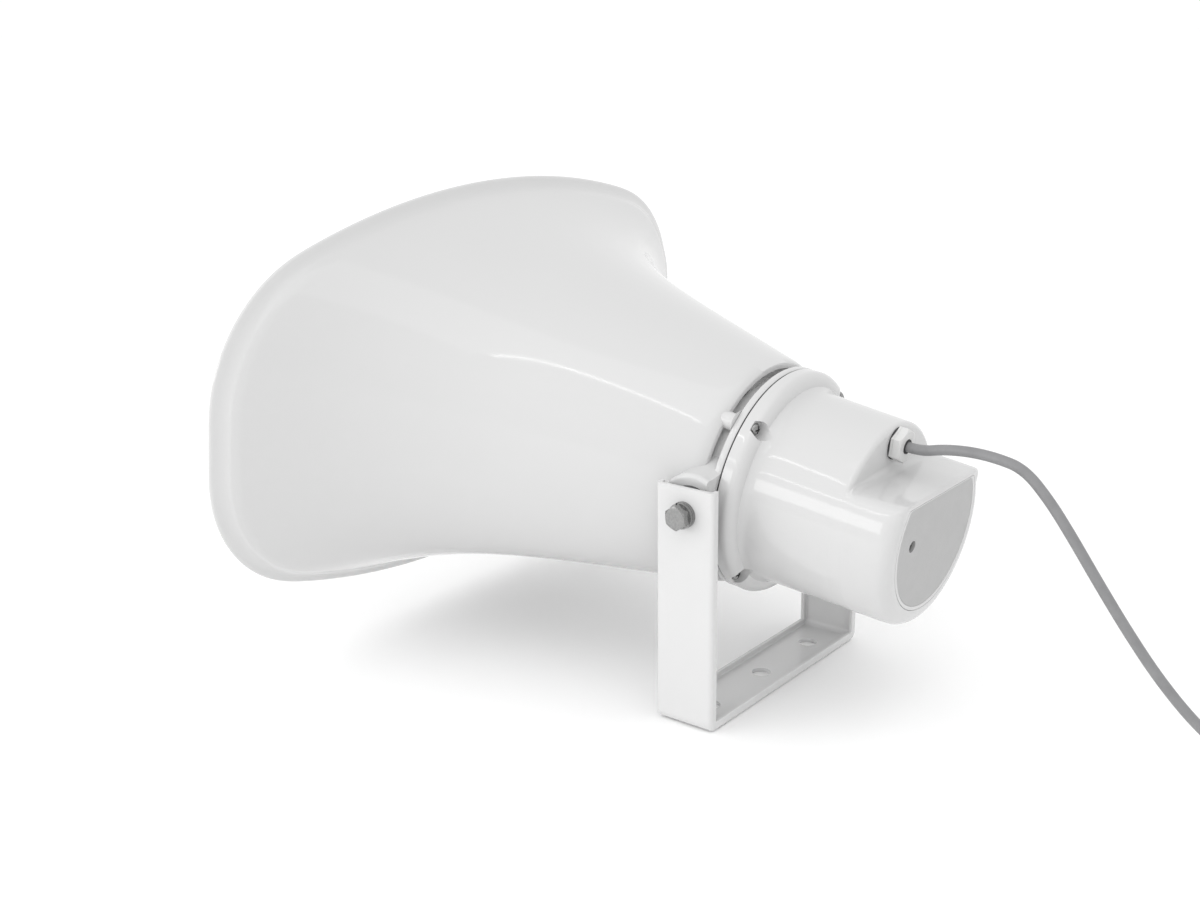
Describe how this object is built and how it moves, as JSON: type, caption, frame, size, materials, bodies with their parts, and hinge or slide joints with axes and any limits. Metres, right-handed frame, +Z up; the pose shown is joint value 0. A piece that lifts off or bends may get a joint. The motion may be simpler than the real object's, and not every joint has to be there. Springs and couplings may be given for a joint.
{
  "type": "public address horn loudspeaker",
  "caption": "Weatherproof rectangular reflex horn loudspeaker with compression driver, line transformer, gland, cable and tilting U-bracket for warning and public address.",
  "frame": {"origin": "centre of the bracket base's underside, at its middle bolt hole", "axes": "+Z up from the mounting surface, +X along the pivot axis, horn mouth towards -Y"},
  "size_m": [0.3474, 0.5301, 0.2255],
  "materials": {
    "horn_plastic": "gloss, weatherproof moulded shell",
    "bracket_paint": "gloss white powder coat on pressed steel",
    "gland_nylon": "satin moulded nylon",
    "panel_grey": "satin grey",
    "zinc_steel": "zinc-plated steel fasteners",
    "plain_steel": "bright machined steel",
    "laminated_steel": "stacked laminations",
    "ferrite": "dull fired ferrite",
    "insert_brass": "turned",
    "gasket_rubber": "closed-cell rubber",
    "seal_rubber": "soft rubber",
    "inner_plastic": "glass-filled moulding",
    "diaphragm_film": "resin-pressed dome",
    "winding_copper": "enamelled copper winding",
    "terminal_plastic": "natural moulding",
    "cable_jacket": "smooth grey flexible jacket",
    "core_insulation": "smooth insulation",
    "core_copper": "bare twisted strands"
  },
  "bodies": {
    "bracket": {"u_bracket": "bracket_paint", "cable_coil": "cable_jacket", "cable_tail": "cable_jacket", "cable_cores": "core_insulation", "core_ends": "core_copper"},
    "horn": {"horn_bell": "horn_plastic", "throat_tube": "horn_plastic", "reflector": "horn_plastic", "reflector_spider": "inner_plastic", "reflector_screw": "zinc_steel", "flange_gasket": "gasket_rubber", "rear_housing": "horn_plastic", "rear_panel": "panel_grey", "flange_screws": "zinc_steel", "driver_adapter": "inner_plastic", "diaphragm_surround": "diaphragm_film", "clamp_ring": "inner_plastic", "top_plate": "plain_steel", "ferrite_magnet": "ferrite", "pole_piece": "plain_steel", "driver_screws": "zinc_steel", "transformer_frame": "plain_steel", "transformer_core": "laminated_steel", "transformer_winding": "winding_copper", "transformer_screws": "zinc_steel", "terminal_strip": "terminal_plastic", "tap_switch": "inner_plastic", "gland_body": "gland_nylon", "gland_nut": "gland_nylon", "gland_seal": "seal_rubber", "gland_ring": "seal_rubber", "pivot_inserts": "insert_brass", "pivot_spacers": "inner_plastic", "flat_washers": "zinc_steel", "spring_washers": "zinc_steel", "pivot_bolts": "zinc_steel", "cable_inlet": "cable_jacket", "cable": "cable_jacket"},
    "diaphragm": {"diaphragm": "diaphragm_film"},
    "tap_rotor": {"tap_rotor": "inner_plastic"}
  },
  "joints": [
    {"name": "bracket_tilt", "type": "hinge", "parent": "bracket", "child": "horn", "pos_m": [0, 0, 0.10181], "axis": [-1, 0, 0], "range_deg": [-37.25, 82.75]},
    {"name": "diaphragm_travel", "type": "slide", "parent": "horn", "child": "diaphragm", "axis": [0, 0.992, -0.1262], "range_m": [-0.0004, 0.0004], "stiffness_N_per_m": 300},
    {"name": "tap_selector", "type": "hinge", "parent": "horn", "child": "tap_rotor", "pos_m": [0.02184, 0.0821, 0.09345], "axis": [0, 0.992, -0.1262], "range_deg": [0, 150]}
  ]
}
